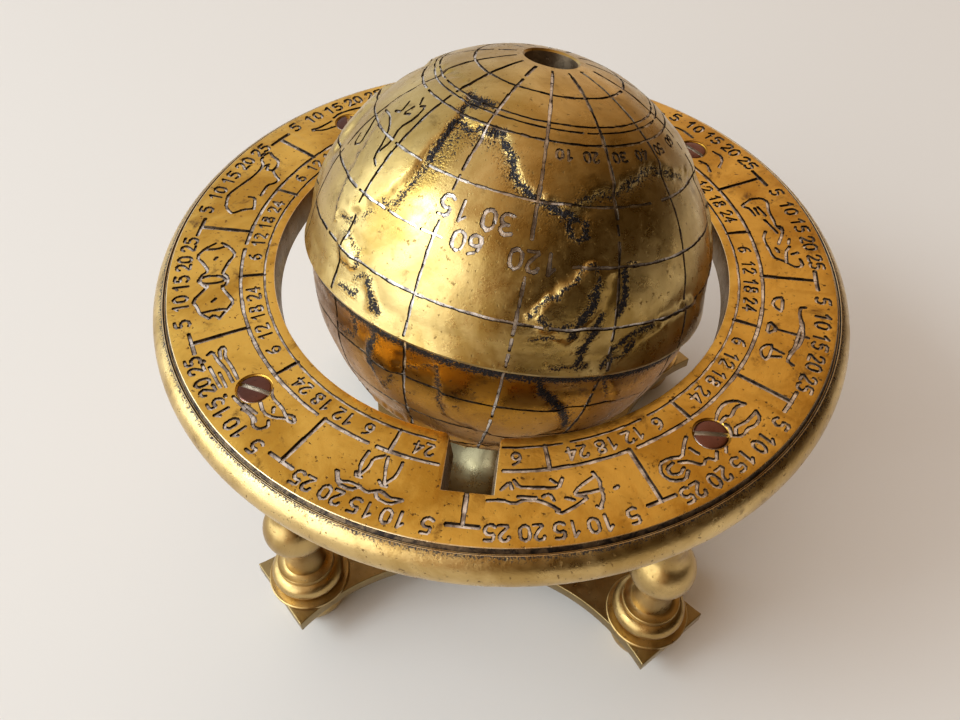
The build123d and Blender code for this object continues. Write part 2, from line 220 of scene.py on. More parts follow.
def engrave(made, cuts, lift, clear=0.15):
    """Cut V-shaped strokes (start, end, width, depth) into a piece.

    Each stroke is a small cone, point down, stretched from end to end. Strokes that touch go
    into separate batches, so that each batch is a clean solid.
    """
    widest, probe = 1.15, 0.6
    cell = widest + clear
    steps = (-1, 0, 1)
    batches = []
    for cut in cuts:
        start, end = cut[:2]
        count = 1 + int((end - start).length / probe)
        path = [start.lerp(end, i / count) for i in range(count + 1)]
        spots = {tuple(round(value / cell) for value in spot) for spot in path}
        for batch, taken in batches:
            if not spots & taken:
                break
        else:
            batch, taken = [], set()
            batches.append((batch, taken))
        batch.append(cut)
        taken.update(
            (x + i, y + j, z + k) for x, y, z in spots for i in steps for j in steps for k in steps
        )
    tools = []
    for batch, taken in batches:
        bm = bmesh.new()
        for cut in batch:
            bm.from_mesh(graver_bit)
        bits = iter(bm.verts)
        for start, end, width, depth in batch:
            half = width / 2 * (depth + clear) / depth
            frames = []
            for tip in (start, end):
                up = lift(tip)
                side = (end - start).cross(up).normalized()
                frames.append((tip, side * half, up.cross(side) * half, up))
            for vert in islice(bits, bit_size):
                tip, side, ahead, up = frames[vert.co.y > 0]
                rise = (vert.co.z + 1) / 2 * (depth + clear) - depth
                vert.co = tip + side * vert.co.x + ahead * vert.co.y + up * rise
        tools.append(piece("graver", bm, made.data.materials))
    cut_out(made, *tools)


def old_metal(name, bright, dull, dark, rough, pits=0.5, spots=0.5, patch=38):
    """Aged metal: a warm tone that drifts, dark spots, small pits and fine scratches."""
    made = bpy.data.materials.new(name)
    made.use_nodes = True
    nodes, links = made.node_tree.nodes, made.node_tree.links
    shader = nodes["Principled BSDF"]
    shader.inputs["Metallic"].default_value = 1.0
    place = nodes.new("ShaderNodeTexCoord").outputs["Object"]

    def cloud(scale, detail=4.0, rough_steps=0.6, twist=0.0):
        texture = nodes.new("ShaderNodeTexNoise")
        texture.inputs["Scale"].default_value = scale
        texture.inputs["Detail"].default_value = detail
        texture.inputs["Roughness"].default_value = rough_steps
        texture.inputs["Distortion"].default_value = twist
        links.new(place, texture.inputs["Vector"])
        return texture.outputs["Fac"]

    def between(value, low, high, to_low=0.0, to_high=1.0):
        remap = nodes.new("ShaderNodeMapRange")
        remap.interpolation_type = "SMOOTHSTEP"
        ends = (("From Min", low), ("From Max", high), ("To Min", to_low), ("To Max", to_high))
        for slot, number in ends:
            remap.inputs[slot].default_value = number
        links.new(value, remap.inputs["Value"])
        return remap.outputs["Result"]

    def sums(kind, a, b):
        step = nodes.new("ShaderNodeMath")
        step.operation = kind
        for socket, value in zip(step.inputs, (a, b)):
            if isinstance(value, (int, float)):
                socket.default_value = value
            else:
                links.new(value, socket)
        return step.outputs[0]

    def mixed(share, a, b):
        mix = nodes.new("ShaderNodeMix")
        mix.data_type = "RGBA"
        links.new(share, mix.inputs["Factor"])
        for socket, value in ((mix.inputs[6], a), (mix.inputs[7], b)):
            if isinstance(value, tuple):
                socket.default_value = (*value, 1)
            else:
                links.new(value, socket)
        return mix.outputs[2]

    drift = between(cloud(patch, 5, 0.62, 0.6), 0.36, 0.64)
    stain = between(cloud(150, 6, 0.7, 0.4), 0.56, 0.74)
    speck = between(cloud(900, 3, 0.6), 0.62, 0.71)
    fine = cloud(2600, 3, 0.7)
    tone = mixed(drift, bright, dull)
    tone = mixed(sums("MULTIPLY", stain, spots), tone, dark)
    tone = mixed(sums("MULTIPLY", speck, spots), tone, dark)
    gloss = between(cloud(260, 5, 0.65), 0.3, 0.7, rough - 0.07, rough + 0.09)
    gloss = sums("ADD", gloss, sums("MULTIPLY", speck, 0.2))

    height = sums("MULTIPLY", fine, 0.35)
    height = sums("ADD", height, sums("MULTIPLY", cloud(420, 4, 0.6), 0.9))
    height = sums("SUBTRACT", height, sums("MULTIPLY", speck, 0.5))
    bump = nodes.new("ShaderNodeBump")
    bump.inputs["Strength"].default_value = pits
    bump.inputs["Distance"].default_value = 0.00022
    links.new(height, bump.inputs["Height"])
    links.new(bump.outputs["Normal"], shader.inputs["Normal"])
    links.new(tone, shader.inputs["Base Color"])
    links.new(gloss, shader.inputs["Roughness"])
    return made


ring_brass = old_metal(
    "ring_brass", (0.70, 0.42, 0.080), (0.46, 0.238, 0.030), (0.15, 0.073, 0.019),
    0.35, spots=0.95, patch=46,
)
# The bead's brass is paler than the plate's: partly its turned finish, partly a painted sheen of the
# window light on it.
bead_brass_and_sheen = old_metal(
    "bead_brass_and_sheen", (0.68, 0.49, 0.21), (0.46, 0.30, 0.10), (0.17, 0.10, 0.036),
    0.31, pits=0.4, spots=0.8, patch=56,
)
# Pale brass for the eased edges of the ring: partly rubbed bright, partly a painted highlight along the
# edges.
worn_edge_and_highlight = old_metal(
    "worn_edge_and_highlight", (0.84, 0.68, 0.42), (0.70, 0.50, 0.24), (0.30, 0.17, 0.06),
    0.30, pits=0.3, spots=0.6, patch=90,
)
# Painted shade: a dark brass for the ring's inner wall and the notch walls, standing in for the shade
# that falls in them.
shaded_wall_brass = old_metal(
    "shaded_wall_brass", (0.22, 0.135, 0.045), (0.12, 0.07, 0.022), (0.05, 0.03, 0.012), 0.34, pits=0.6,
)
cut_wall = old_metal(
    "cut_wall", (0.16, 0.11, 0.065), (0.030, 0.024, 0.022), (0.010, 0.008, 0.008), 0.42, patch=500,
)
cut_floor = old_metal(
    "cut_floor", (0.88, 0.81, 0.74), (0.26, 0.21, 0.175), (0.03, 0.025, 0.025),
    0.36, spots=0.7, patch=330,
)


def blacken(made, amount, grain=1500, soot=(0.020, 0.017, 0.018), low=-0.03, high=0.10):
    """Leave soot in the pits of a metal, thicker where the amount comes near one."""
    nodes, links = made.node_tree.nodes, made.node_tree.links
    shader = nodes["Principled BSDF"]
    tone = shader.inputs["Base Color"].links[0].from_socket
    gloss = shader.inputs["Roughness"].links[0].from_socket
    speckle = nodes.new("ShaderNodeTexNoise")
    speckle.inputs["Scale"].default_value = grain
    speckle.inputs["Detail"].default_value = 3
    speckle.inputs["Roughness"].default_value = 0.65
    links.new(nodes.new("ShaderNodeTexCoord").outputs["Object"], speckle.inputs["Vector"])
    pits = nodes.new("ShaderNodeMapRange")
    pits.inputs["From Min"].default_value = 0.32
    pits.inputs["From Max"].default_value = 0.66
    links.new(speckle.outputs["Fac"], pits.inputs["Value"])
    over = nodes.new("ShaderNodeMath")
    over.operation = "SUBTRACT"
    links.new(amount, over.inputs[0])
    links.new(pits.outputs["Result"], over.inputs[1])
    share = nodes.new("ShaderNodeMapRange")
    share.interpolation_type = "SMOOTHSTEP"
    share.inputs["From Min"].default_value = low
    share.inputs["From Max"].default_value = high
    links.new(over.outputs[0], share.inputs["Value"])
    blacked = nodes.new("ShaderNodeMix")
    blacked.data_type = "RGBA"
    blacked.inputs[7].default_value = (*soot, 1)
    links.new(share.outputs["Result"], blacked.inputs["Factor"])
    links.new(tone, blacked.inputs[6])
    links.new(blacked.outputs[2], shader.inputs["Base Color"])
    rougher = nodes.new("ShaderNodeMath")
    rougher.operation = "MULTIPLY_ADD"
    rougher.inputs[1].default_value = 0.18
    links.new(share.outputs["Result"], rougher.inputs[0])
    links.new(gloss, rougher.inputs[2])
    links.new(rougher.outputs[0], shader.inputs["Roughness"])


# A soot line and faint file marks along the inner flank of the bead
nodes, links = bead_brass_and_sheen.node_tree.nodes, bead_brass_and_sheen.node_tree.links
spot = nodes.new("ShaderNodeSeparateXYZ")
links.new(nodes.new("ShaderNodeTexCoord").outputs["Object"], spot.inputs[0])
reach = nodes.new("ShaderNodeCombineXYZ")
links.new(spot.outputs["X"], reach.inputs["X"])
links.new(spot.outputs["Y"], reach.inputs["Y"])
radius = nodes.new("ShaderNodeVectorMath")
radius.operation = "LENGTH"
links.new(reach.outputs[0], radius.inputs[0])
turn = nodes.new("ShaderNodeMath")
turn.operation = "ARCTAN2"
links.new(spot.outputs["Y"], turn.inputs[0])
links.new(spot.outputs["X"], turn.inputs[1])
strokes = nodes.new("ShaderNodeTexNoise")
strokes.noise_dimensions = "1D"
strokes.inputs["Scale"].default_value = 260
strokes.inputs["Detail"].default_value = 3
links.new(turn.outputs[0], strokes.inputs["W"])
sooty = nodes.new("ShaderNodeMapRange")
for slot_name, number in (("From Min", rim_groove), ("From Max", rim_groove + 2.2)):
    sooty.inputs[slot_name].default_value = number * mm
sooty.inputs["To Min"].default_value = 1.25
sooty.inputs["To Max"].default_value = -0.25
links.new(radius.outputs["Value"], sooty.inputs["Value"])
uneven = nodes.new("ShaderNodeMath")
uneven.operation = "MULTIPLY_ADD"
uneven.inputs[1].default_value = 0.5
links.new(strokes.outputs["Fac"], uneven.inputs[0])
uneven.inputs[2].default_value = -0.25
joined = nodes.new("ShaderNodeMath")
joined.operation = "ADD"
links.new(sooty.outputs["Result"], joined.inputs[0])
links.new(uneven.outputs[0], joined.inputs[1])
blacken(bead_brass_and_sheen, joined.outputs[0], 2200, (0.055, 0.050, 0.052), -0.25, 0.45)

bead_mid = ring_outer - bead
ring_outline = [
    (ring_inner - ring_draft, -ring_thick),
    (ring_inner, 0),
    (rim_groove - rim_groove_half, 0),
    (rim_groove, -1.3),
]
ring_outline += arc(bead_mid, -bead_drop, bead, 64, -170, 40)
bm = turned(ring_outline, 240, wedges=12)
bmesh.ops.translate(bm, vec=(0, 0, ring_top), verts=bm.verts)
bead_at, shaded_wall_at, rubbed_and_highlight_at = 3, 4, 5
ring_metals = (ring_brass, cut_wall, cut_floor, bead_brass_and_sheen, shaded_wall_brass, worn_edge_and_highlight)
for face in bm.faces:
    middle = face.calc_center_median()
    reach = hypot(middle.x, middle.y)
    if reach > rim_groove:
        face.material_index = bead_at
    elif reach > rim_groove - rim_groove_half:
        face.material_index = wall_at
    # the ring's inner wall takes the painted shade
    elif reach < ring_inner:
        face.material_index = shaded_wall_at
ring = piece("engraved_ring", bm, ring_metals)

# Notches, cut from above and narrower at the bottom, with rounded corners at the mouth
tools = []
for side in (-1, 1):
    half_outline = [(notch_wide / 2 + notch_lip, 0)]
    half_outline += arc(notch_wide / 2 + notch_lip, notch_mouth + notch_lip, notch_lip, 270, 180, 6)
    half_outline += [(notch_wide / 2, notch_end)]
    bm = bmesh.new()
    corners = half_outline + [(-x, y) for x, y in reversed(half_outline)]
    face = bm.faces.new([bm.verts.new((x, side * y, 1.5 * ring_thick)) for x, y in corners])
    extruded = bmesh.ops.extrude_face_region(bm, geom=[face])["geom"]
    low = [v for v in extruded if isinstance(v, bmesh.types.BMVert)]
    bmesh.ops.translate(bm, vec=(0, 0, -3 * ring_thick), verts=low)
    for vert in bm.verts:
        lean = vert.co.z * notch_slope
        vert.co.x += lean * copysign(1, vert.co.x)
        if abs(vert.co.y) > notch_end - 1:
            vert.co.y += lean * side
    # The notch walls take the painted shade.
    for face in bm.faces:
        face.material_index = shaded_wall_at
    bmesh.ops.recalc_face_normals(bm, faces=bm.faces)
    bmesh.ops.translate(bm, vec=(0, 0, ring_top), verts=bm.verts)
    tools.append(piece("notch", bm, ring_metals))
cut_out(ring, *tools)
# The eased edges take the pale brass: rubbed wear and a painted highlight.
soften(ring, 0.3, finish=rubbed_and_highlight_at)

# Countersunk screw holes
sink_r, shank_r = 4.15, 2.25
tools = []
for turn in leg_turns.values():
    sink = [(0, 2), (sink_r, 2), (sink_r, -0.25), (shank_r, -2.15), (shank_r, -13), (0, -13)]
    bm = turned(sink, 48, False)
    place = Matrix.Rotation(radians(turn), 4, "Z") @ Matrix.Translation((leg_circle, 0, ring_top))
    tools.append(piece("screw_hole", bm, (), place))
cut_out(ring, *tools)

# The cuts. A sector is 30 degrees, and runs clockwise from the front as seen from above.
# Two rows of numerals follow the ring, degrees outside and hours in the band inside; each
# row has its middle radius and the length of a degree along it.
band_high = 64.2
band_low = 58.5
divider_end = 77.2
sector = 30
hour_divider = 15.5
degree_row, hour_row = 78.3, 61.3
degree_long, hour_long = 1.365, 1.065


def on_ring(number, degrees, r):
    """A place on top of the ring, by its sector, degrees into the sector, and radius."""
    angle = radians(-90 - sector * number - degrees)
    return Vector((r * cos(angle), r * sin(angle), ring_top))


# Hand-cut digits, as lines in a box one high and 0.6 wide
digits = {
    "0": [[(0.3, 1), (0.05, 0.85), (0, 0.5), (0.05, 0.15), (0.3, 0), (0.55, 0.15), (0.6, 0.5),
           (0.55, 0.85), (0.3, 1)]],
    "1": [[(0.08, 0.74), (0.34, 1), (0.34, 0)]],
    "2": [[(0.02, 0.76), (0.12, 0.97), (0.45, 1), (0.58, 0.75), (0.42, 0.45), (0, 0), (0.62, 0)]],
    "3": [[(0.02, 0.92), (0.35, 1.02), (0.58, 0.8), (0.45, 0.56), (0.2, 0.53)],
          [(0.2, 0.53), (0.5, 0.5), (0.62, 0.25), (0.4, 0), (0, 0.06)]],
    "4": [[(0.44, 0), (0.44, 1), (0, 0.3), (0.64, 0.3)]],
    "5": [[(0.56, 1), (0.08, 1), (0.04, 0.56), (0.4, 0.62), (0.62, 0.4), (0.5, 0.06),
           (0.2, -0.02), (0, 0.1)]],
    "6": [[(0.52, 0.97), (0.16, 0.8), (0, 0.35), (0.12, 0.02), (0.46, 0), (0.62, 0.25),
           (0.48, 0.52), (0.2, 0.52), (0.03, 0.34)]],
    "7": [[(0, 1), (0.6, 1), (0.22, 0)]],
    "8": [[(0.3, 0.54), (0.08, 0.68), (0.1, 0.95), (0.3, 1), (0.52, 0.95), (0.53, 0.68),
           (0.3, 0.54), (0.02, 0.36), (0.04, 0.05), (0.3, 0), (0.57, 0.05), (0.6, 0.36), (0.3, 0.54)]],
    "9": [[(0.08, 0.03), (0.44, 0.2), (0.6, 0.65), (0.48, 0.98), (0.16, 1), (0, 0.75),
           (0.14, 0.48), (0.42, 0.48), (0.57, 0.66)]],
}


def numeral(number, size):
    """Strokes of a number about its own middle: x to the right, y up, in millimetres."""
    pitch, gap = 0.86, 0.26
    width = pitch * len(number) - gap
    strokes = []
    for index, digit in enumerate(number):
        for stroke in digits[digit]:
            line = stroke if digit in "147" else curved(stroke)
            shift = pitch * index - width / 2
            strokes.append([((x + shift) * size, (y - 0.5) * size) for x, y in line])
    return strokes


# Traditional signs, as (degrees into the sector, radius). A line that comes back to its
# first point is closed.
goat = [
    [(9.7, 74.2), (11.4, 75.8), (13.6, 75.2), (14.2, 73.9), (13.4, 73.4), (11.8, 74.4),
     (9.9, 74.1)],
    [(14.2, 73.9), (15.3, 74.7), (16.8, 74.3)],
    [(16.8, 74.3), (17.9, 75.5), (20.2, 75.5), (21.7, 72.9)],
    [(16.8, 74.1), (18.6, 73.9), (20.3, 74.9), (21.4, 72.9)],
    [(13.0, 72.1), (13.9, 72.2), (14.5, 71.4)],
    [(17.4, 72.1), (18.4, 72.2), (18.7, 71.4)],
    [(13.4, 71.6), (12.2, 69.2), (12.2, 65.9)],
    [(13.6, 71.5), (14.4, 68.8), (15.1, 65.6)],
    [(17.9, 71.7), (17.2, 69.0), (17.4, 67.2), (15.8, 65.6)],
    [(18.1, 71.5), (18.9, 69.2), (18.8, 66.0)],
]
bearer = [
    [(7.4, 72.2), (6.5, 73.2), (7.1, 75.0), (8.4, 75.4), (9.6, 74.3), (11.2, 74.0), (12.3, 74.6)],
    [(8.8, 74.3), (9.6, 73.9), (11.9, 74.0)],
    [(12.4, 74.0), (15.6, 74.4)],
    [(3.9, 69.0), (5.3, 69.5), (6.2, 68.6), (5.1, 67.8), (3.9, 68.6), (3.9, 69.0)],
    [(5.6, 69.3), (7.3, 71.0), (9.4, 71.7), (12.8, 70.2)],
    [(6.2, 68.8), (8.2, 68.0), (11.3, 67.9), (12.9, 66.7)],
    [(8.3, 70.2), (9.0, 69.4)],
    [(10.1, 72.9), (13.2, 73.5)],
    [(18.6, 72.6), (22.0, 72.5), (24.6, 73.3), (26.9, 73.6), (26.4, 74.8)],
    [(18.7, 71.4), (22.2, 71.1), (24.8, 71.5), (26.4, 70.6), (27.2, 71.0), (26.5, 72.1),
     (24.6, 72.4)],
    [(18.7, 75.5), (23.6, 75.4)],
    [(18.2, 74.4), (21.6, 74.1)],
    [(25.2, 76.0), (25.5, 76.1)],
    [(16.4, 75.7), (16.7, 75.6)],
]
fishes = [
    [(5.0, 72.2), (6.8, 74.2), (8.6, 74.6), (10.1, 75.5), (13.2, 72.2), (14.2, 72.0)],
    [(4.4, 69.9), (6.2, 67.9), (8.2, 66.0), (10.4, 67.2), (13.0, 68.7), (13.6, 67.5),
     (15.6, 67.2), (17.0, 68.6)],
    [(4.4, 69.9), (5.6, 71.0), (5.0, 72.2)],
    [(6.7, 73.9), (6.9, 71.0), (6.5, 68.0)],
    [(14.9, 74.3), (14.2, 72.4), (14.2, 69.2), (15.0, 67.6), (16.2, 69.2), (16.3, 72.4),
     (15.6, 74.2), (14.9, 74.3)],
    [(13.2, 72.2), (14.6, 73.7), (16.4, 74.0), (17.8, 72.0), (20.0, 73.7), (21.8, 75.7),
     (24.2, 74.0), (25.6, 71.9)],
    [(17.0, 68.6), (20.0, 67.6), (22.4, 66.2), (24.6, 68.0), (25.8, 70.4)],
    [(23.8, 74.0), (24.0, 71.0), (24.9, 69.2)],
    [(9.2, 71.0), (9.9, 70.2)],
    [(21.0, 71.0), (21.6, 70.6)],
]
ram = [
    [(5.4, 72.2), (6.6, 73.9), (8.6, 74.8), (10.4, 75.4), (13.4, 74.3), (16.6, 73.2),
     (20.0, 73.0), (21.8, 74.0), (22.6, 75.4)],
    [(5.4, 72.2), (5.0, 71.2), (6.6, 69.0), (7.5, 66.6)],
    [(7.5, 66.6), (9.3, 67.2), (11.0, 68.2), (10.9, 69.8)],
    [(12.2, 67.1), (14.0, 67.4), (16.0, 67.6), (17.2, 66.2), (18.9, 66.1), (19.6, 67.9),
     (20.8, 69.8)],
    [(20.8, 69.8), (20.4, 71.6), (21.6, 72.2)],
    [(20.8, 69.8), (22.7, 69.8), (24.4, 71.4), (24.8, 73.8), (25.6, 75.6), (24.0, 76.0)],
    [(22.6, 75.4), (23.4, 75.8)],
    [(20.6, 73.4), (22.2, 72.4)],
]
bull = [
    [(7.1, 73.9), (8.4, 73.1), (12.0, 73.4)],
    [(6.8, 73.4), (8.6, 71.4), (12.0, 70.4)],
    [(13.2, 74.3), (15.0, 75.1), (18.4, 74.7), (21.0, 73.9), (24.0, 73.6), (25.2, 71.6)],
    [(18.9, 67.4), (21.0, 68.2), (23.6, 67.4), (24.8, 69.6)],
    [(25.2, 71.6), (26.0, 68.6)],
]
twins = [
    [(8.0, 75.4), (7.2, 73.0), (8.0, 70.2), (7.4, 66.6)],
    [(10.2, 75.2), (11.0, 73.0), (10.4, 70.0), (11.2, 66.6)],
    [(18.0, 75.4), (17.2, 73.0), (18.0, 70.2), (17.4, 66.6)],
    [(20.2, 75.2), (21.0, 73.0), (20.4, 70.0), (21.2, 66.6)],
    [(11.0, 72.6), (14.0, 71.4), (17.2, 72.6)],
]
crab = [
    [(11.0, 70.6), (12.4, 73.4), (15.4, 74.4), (18.4, 73.4), (19.8, 70.6), (18.2, 67.8),
     (15.4, 66.8), (12.4, 67.8), (11.0, 70.6)],
    [(11.0, 72.4), (8.4, 74.4), (7.2, 73.0), (8.6, 72.4)],
    [(19.8, 72.4), (22.4, 74.4), (23.6, 73.0), (22.2, 72.4)],
    [(11.4, 68.8), (8.2, 67.4)],
    [(19.4, 68.8), (22.6, 67.4)],
]
lion = [
    [(5.6, 73.6), (8.2, 74.6), (12.0, 73.8)],
    [(5.6, 73.6), (5.2, 71.0), (7.4, 69.4), (12.0, 68.9)],
    [(18.4, 73.6), (20.6, 74.0), (22.0, 72.6), (23.2, 70.2)],
    [(19.2, 67.4), (21.0, 68.2), (23.4, 66.8)],
    [(7.6, 69.2), (7.2, 66.4), (9.0, 66.2)],
]
maiden = [
    [(5.4, 70.2), (5.8, 73.2), (7.2, 74.0), (9.4, 72.6), (12.6, 72.3), (14.6, 72.0), (16.2, 73.2),
     (18.0, 71.8), (20.0, 70.4)],
    [(5.4, 70.2), (6.2, 68.0), (7.0, 66.5), (8.2, 68.1), (10.6, 68.2)],
    [(8.2, 70.4), (11.0, 71.0)],
    [(8.4, 69.4), (10.4, 69.4)],
    [(12.4, 70.0), (14.8, 70.8), (16.6, 71.4)],
    [(14.6, 72.0), (14.9, 73.3), (16.0, 73.2)],
    [(16.0, 68.6), (18.0, 67.2), (21.0, 67.5), (24.0, 67.9), (24.6, 69.6), (25.8, 71.4),
     (26.8, 73.0), (26.2, 74.8), (24.4, 74.6)],
    [(20.8, 73.0), (22.2, 71.6), (25.0, 71.0)],
    [(18.6, 73.8), (20.0, 73.0)],
    [(22.6, 74.4), (23.0, 73.0)],
    [(21.2, 69.4), (22.4, 69.8)],
]
scales = [
    [(7.4, 74.1), (7.7, 72.9), (9.6, 72.9), (12.0, 73.9), (14.6, 74.3), (17.4, 73.9),
     (19.6, 72.7), (21.8, 72.5), (22.3, 74.0)],
    [(9.4, 72.9), (12.4, 73.5), (14.8, 73.2), (17.4, 73.2), (19.6, 72.5)],
    [(14.8, 75.4), (14.8, 68.4)],
    [(14.8, 68.4), (13.0, 66.3), (16.6, 66.3), (14.8, 68.4)],
    [(5.6, 68.8), (9.7, 68.8), (9.0, 67.2), (7.6, 66.4), (6.2, 67.2), (5.6, 68.8)],
    [(19.1, 68.5), (23.4, 68.5), (22.8, 66.9), (21.2, 66.2), (19.8, 66.9), (19.1, 68.5)],
    [(20.4, 71.2), (20.1, 69.0)],
    [(21.4, 71.0), (22.2, 69.0)],
]
scorpion = [
    [(5.4, 72.6), (6.2, 74.2), (8.0, 74.6), (9.6, 73.8), (11.2, 74.3), (12.6, 72.8)],
    [(5.4, 72.6), (6.6, 72.6), (8.8, 72.6), (10.6, 71.8), (11.6, 72.8)],
    [(12.4, 72.4), (11.4, 70.8), (11.6, 70.0)],
    [(5.4, 69.8), (7.2, 68.7), (9.4, 69.6), (10.2, 68.7), (12.4, 69.1)],
    [(5.4, 69.8), (5.8, 67.8), (7.8, 66.4), (10.4, 66.8), (12.2, 68.0)],
    [(14.8, 73.4), (15.8, 74.7)],
    [(17.0, 73.5), (18.2, 75.0), (19.2, 73.4), (20.6, 74.4), (22.0, 72.2), (23.6, 71.2)],
    [(19.2, 67.2), (20.8, 68.6), (22.4, 70.6), (24.6, 69.4), (26.6, 69.6), (27.6, 72.0),
     (26.6, 74.4), (24.6, 75.2), (23.4, 73.9)],
    [(19.8, 71.6), (20.2, 69.8)],
    [(24.6, 70.8), (26.0, 71.2), (26.2, 72.8), (24.8, 73.6), (23.6, 72.8)],
]
archer = [
    [(9.2, 74.8), (8.0, 72.6), (8.0, 70.4), (7.6, 68.8), (8.2, 66.8)],
    [(9.6, 74.4), (9.0, 74.8)],
    [(8.2, 67.6), (11.4, 69.2), (12.6, 70.8), (10.4, 71.9), (12.4, 73.2), (15.0, 74.6),
     (15.9, 74.2)],
    [(7.8, 70.9), (10.4, 71.0), (12.4, 70.8)],
    [(12.8, 72.0), (14.0, 71.4)],
    [(15.6, 73.8), (16.4, 72.8), (18.4, 71.2), (20.6, 70.9), (22.4, 71.9), (24.4, 70.9),
     (26.6, 71.2)],
    [(16.0, 71.6), (16.4, 70.0), (17.6, 70.4)],
    [(18.8, 70.6), (21.6, 70.2)],
    [(13.8, 66.8), (14.8, 68.8), (16.6, 68.6), (19.4, 68.2), (21.4, 68.0), (22.2, 66.4)],
    [(22.6, 68.2), (23.0, 66.8), (24.4, 68.6)],
    [(15.0, 67.6), (15.8, 66.8)],
    [(5.2, 71.2), (5.8, 71.4)],
]
signs = [goat, bearer, fishes, ram, bull, twins, crab, lion, maiden, scales, scorpion, archer]
notch_half = 4.9
ring_cuts = []


def ring_line(number, points, width, depth, closed=False, rounded=True, reach=2.4):
    """Add the cuts of one line of a sector, left out where they would run into a notch."""
    line = curved(points, closed) if rounded else list(points)
    path = wandering([on_ring(number, d, r) for d, r in line], reach, 0.05)
    for a, b in zip(path, path[1:]):
        a.z = b.z = ring_top
        clear_of_notch = abs(a.x) > notch_wide / 2 + 1 or abs(a.y) < 50
        if hypot(a.x, a.y) > band_high + 0.5 or clear_of_notch:
            swell = graver.uniform(0.85, 1.15)
            ring_cuts.append((a, b, width * swell, depth * graver.uniform(0.85, 1.1)))


for number, sign in enumerate(signs):
    for points in sign:
        closed = points[0] == points[-1]
        ring_line(number, points[:-1] if closed else points, 0.85, 0.5, closed)
    for line, width, depth in (
        ([(0, band_high), (0, divider_end)], 1.2, 0.65),
        ([(-2.3, divider_end + 0.1), (2.3, divider_end + 0.1)], 1.15, 0.6),
        ([(hour_divider, band_low), (hour_divider, band_high)], 1.05, 0.6),
    ):
        ring_line(number, line, width, depth, rounded=False, reach=3)
    for label in range(5, sector, 5):
        for stroke in numeral(str(label), 3.3):
            line = [(label + x / degree_long, degree_row + y) for x, y in stroke]
            ring_line(number, line, 0.78, 0.48, rounded=False)
    for label in range(6, sector, 6):
        spot = label + hour_divider if label < 15 else label + hour_divider - sector
        for stroke in numeral(str(label), 2.9):
            line = [(spot + x / hour_long, hour_row + y) for x, y in stroke]
            ring_line(number, line, 0.66, 0.42, rounded=False)
for r, width in ((band_high, 0.95), (band_low, 0.6)):
    for step in range(0, 360, 2):
        number, degrees = divmod(step, sector)
        mid = on_ring(number, degrees + 1, r)
        if abs(mid.x) < notch_half + 1.6 or graver.random() < 0.03:
            continue
        ring_line(number, [(degrees, r), (degrees + 2, r)], width, 0.42, rounded=False)
engrave(ring, ring_cuts, lambda spot: Vector((0, 0, 1)))
polish(ring)
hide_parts("horizon_ring")
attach(ring, "stand")


# Ring screws: four slotted countersunk steel screws, lacquered red-brown, that hold the
# ring down on its legs. Their slots and rims are worn to bright metal.
slot_angles = {"front_left": 31, "front_right": -43, "back_right": 2, "back_left": 64}
screw_lacquer = old_metal(
    "screw_lacquer", (0.15, 0.062, 0.044), (0.085, 0.036, 0.027), (0.02, 0.010, 0.009),
    0.27, pits=0.25,
)
worn_steel = old_metal(
    "worn_steel", (0.58, 0.53, 0.46), (0.38, 0.33, 0.27), (0.08, 0.06, 0.045), 0.34, pits=0.4,
)
screw_metals, steel_at = (screw_lacquer, worn_steel), 1
bare_rim = 3.74
slot_long, slot_wide, slot_deep = 9, 1.05, 1
for corner, turn in leg_turns.items():
    head = [(0, -0.05), (2.2, -0.08), (3.2, -0.15), (3.7, -0.3), (3.88, -0.55), (3.8, -0.75)]
    bm = turned(head + [(2.0, -2.6), (2.0, -17.7), (1.7, -18), (0, -18)], 64, False)
    for face in bm.faces:
        middle = face.calc_center_median()
        if hypot(middle.x, middle.y) > bare_rim:
            face.material_index = steel_at
    place = Matrix.Rotation(radians(turn), 4, "Z") @ Matrix.Translation((leg_circle, 0, ring_top))
    screw = piece("screw_" + corner, bm, screw_metals, place)
    bm = bmesh.new()
    bmesh.ops.create_cube(bm, size=1)
    bmesh.ops.scale(bm, vec=(slot_long, slot_wide, 2 * slot_deep), verts=bm.verts)
    for face in bm.faces:
        face.material_index = steel_at
    slot_turn = Matrix.Rotation(radians(slot_angles[corner] - 90), 4, "Z")
    cut_out(screw, piece("slot", bm, screw_metals, place @ slot_turn))
    soften(screw, 0.07, 2, 50)
    polish(screw, 40)
    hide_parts("ring_screw_" + corner)
    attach(screw, "stand")


# Legs: four brass balusters, each turned in one piece, with a wide disc and torus at
# the foot, a bulb, a slender shaft and a collar under the ring.
stand_brass = old_metal(
    "stand_brass", (0.57, 0.40, 0.165), (0.38, 0.245, 0.085), (0.13, 0.075, 0.025),
    0.33, pits=0.25, spots=0.4,
)
plate_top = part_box("leg_front_left")[0][2] / mm
leg_long = 81.4
leg_bulb, bulb_up = 8.8, 28.0
collar_top = 76.35
leg_outline = [(0, 0), (11.35, 0), (11.6, 0.25), (11.6, 1.05), (11.35, 1.3)]
leg_outline += arc(7.0, 4.5, 3.2, -90, 90, 16)
leg_outline += [(7.85, 7.7), (8.0, 7.85), (8.0, 9.3), (7.85, 9.5), (6.7, 9.5)]
leg_outline += arc(31.6, 15.5, 26.4, 192, 168, 10)
leg_outline += arc(0, bulb_up, leg_bulb, -52, 45, 22)
leg_outline += arc(11.1, 39.1, 6.9, 222, 180, 10)
leg_outline += arc(4.32, 73.55, 2.88, -76, 76, 14)
leg_outline += [(4.3, collar_top), (4.3, leg_long), (0, leg_long)]
